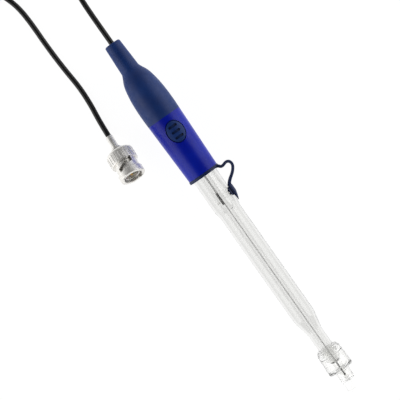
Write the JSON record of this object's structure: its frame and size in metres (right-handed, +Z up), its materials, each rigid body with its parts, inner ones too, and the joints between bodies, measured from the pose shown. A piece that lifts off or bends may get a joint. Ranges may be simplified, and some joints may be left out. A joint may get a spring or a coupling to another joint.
{
  "type": "combination water electrode with cable",
  "caption": "Refillable glass combination electrode with a plastic grip cap, rubber cable boot, strapped fill-hole stopper, wetting cap and a BNC lead.",
  "frame": {"origin": "on the table under the middle of the probe's box, cable and plug left out", "axes": "+X along the probe towards the glass tip, +Y the side of the fill hole and its strap, +Z up from the table, the side of the thumb pad; the probe's axis dips 0.96 degrees towards the tip as it lies on its shoulder and on the wetting cap"},
  "size_m": [0.306, 0.0499, 0.0188],
  "materials": {
    "navy_rubber": "satin moulded rubber",
    "blue_plastic": "moulded ABS, semi-gloss",
    "borosilicate_glass": "clear",
    "membrane_glass": "clear, thin",
    "porous_ceramic": "white sintered ceramic",
    "silver": "drawn silver wire",
    "silver_chloride": "dark silver chloride coat",
    "epoxy": "cast epoxy",
    "silicone": "translucent silicone",
    "nitrile": "black nitrile",
    "nylon": "moulded nylon",
    "cable_jacket": "black PVC",
    "tinned_copper": "tinned braid",
    "polyethylene": "natural polyethylene",
    "shrink_sleeve": "heat-shrink sleeve",
    "clear_vinyl": "clear soft vinyl",
    "nickel_plate": "nickel-plated brass",
    "spring_steel": "sprung steel",
    "ptfe": "white PTFE",
    "gold_plate": "gold-plated contact"
  },
  "bodies": {
    "probe": {"strain_relief_boot": "navy_rubber", "cap_body": "blue_plastic", "thumb_pad": "navy_rubber", "strap_ring": "navy_rubber", "outer_glass_body": "borosilicate_glass", "reference_chamber": "borosilicate_glass", "ph_stem": "borosilicate_glass", "sensing_bulb": "membrane_glass", "ceramic_junction": "porous_ceramic", "inner_ceramic_junction": "porous_ceramic", "reference_element": "silver_chloride", "reference_lead_wire": "silver", "internal_lead_wire": "silver", "internal_element": "silver_chloride", "epoxy_potting": "epoxy", "top_seal": "silicone", "stem_seal": "silicone", "shaft_o_ring": "nitrile", "cable_clamp": "nylon", "cable_tail_jacket": "cable_jacket", "cable_tail_shield": "tinned_copper", "cable_tail_core": "polyethylene", "shield_drain_wire": "tinned_copper", "core_splice_sleeve": "shrink_sleeve", "shield_splice_sleeve": "shrink_sleeve", "plug_ferrule": "nickel_plate", "plug_cable_core": "polyethylene", "plug_body": "nickel_plate", "plug_contact_sleeve": "nickel_plate", "plug_insulator": "ptfe", "plug_pin": "gold_plate", "plug_gasket": "silicone", "retaining_ring": "spring_steel", "wave_washer": "spring_steel", "cable_from_boot": "cable_jacket", "cable_coil": "cable_jacket", "cable_to_plug": "cable_jacket"},
    "stopper": {"stopper_strap": "navy_rubber", "fill_hole_stopper": "navy_rubber"},
    "wetting_cap": {"wetting_cap": "clear_vinyl", "wetting_cap_seal": "silicone"},
    "nut_carrier": {"thrust_washer": "spring_steel"},
    "coupling_nut": {"coupling_nut": "nickel_plate"}
  },
  "joints": [
    {"name": "stopper_swing", "type": "hinge", "parent": "probe", "child": "stopper", "pos_m": [-0.02615, 0.00692, 0.01228], "axis": [0.0155, -0.3746, 0.9271], "range_deg": [0, 90]},
    {"name": "wetting_cap_slide", "type": "slide", "parent": "probe", "child": "wetting_cap", "axis": [0.9999, 0, -0.0167], "range_m": [0, 0.032]},
    {"name": "nut_advance", "type": "slide", "parent": "probe", "child": "nut_carrier", "axis": [0.9193, -0.0466, 0.3907], "range_m": [0, 0.002], "stiffness_N_per_m": 3000, "springref_m": -0.001, "deforming": ["wave_washer"]},
    {"name": "nut_turn", "type": "hinge", "parent": "nut_carrier", "child": "coupling_nut", "pos_m": [-0.05357, -0.03087, 0.00894], "axis": [0.9193, -0.0466, 0.3907], "continuous": true}
  ]
}
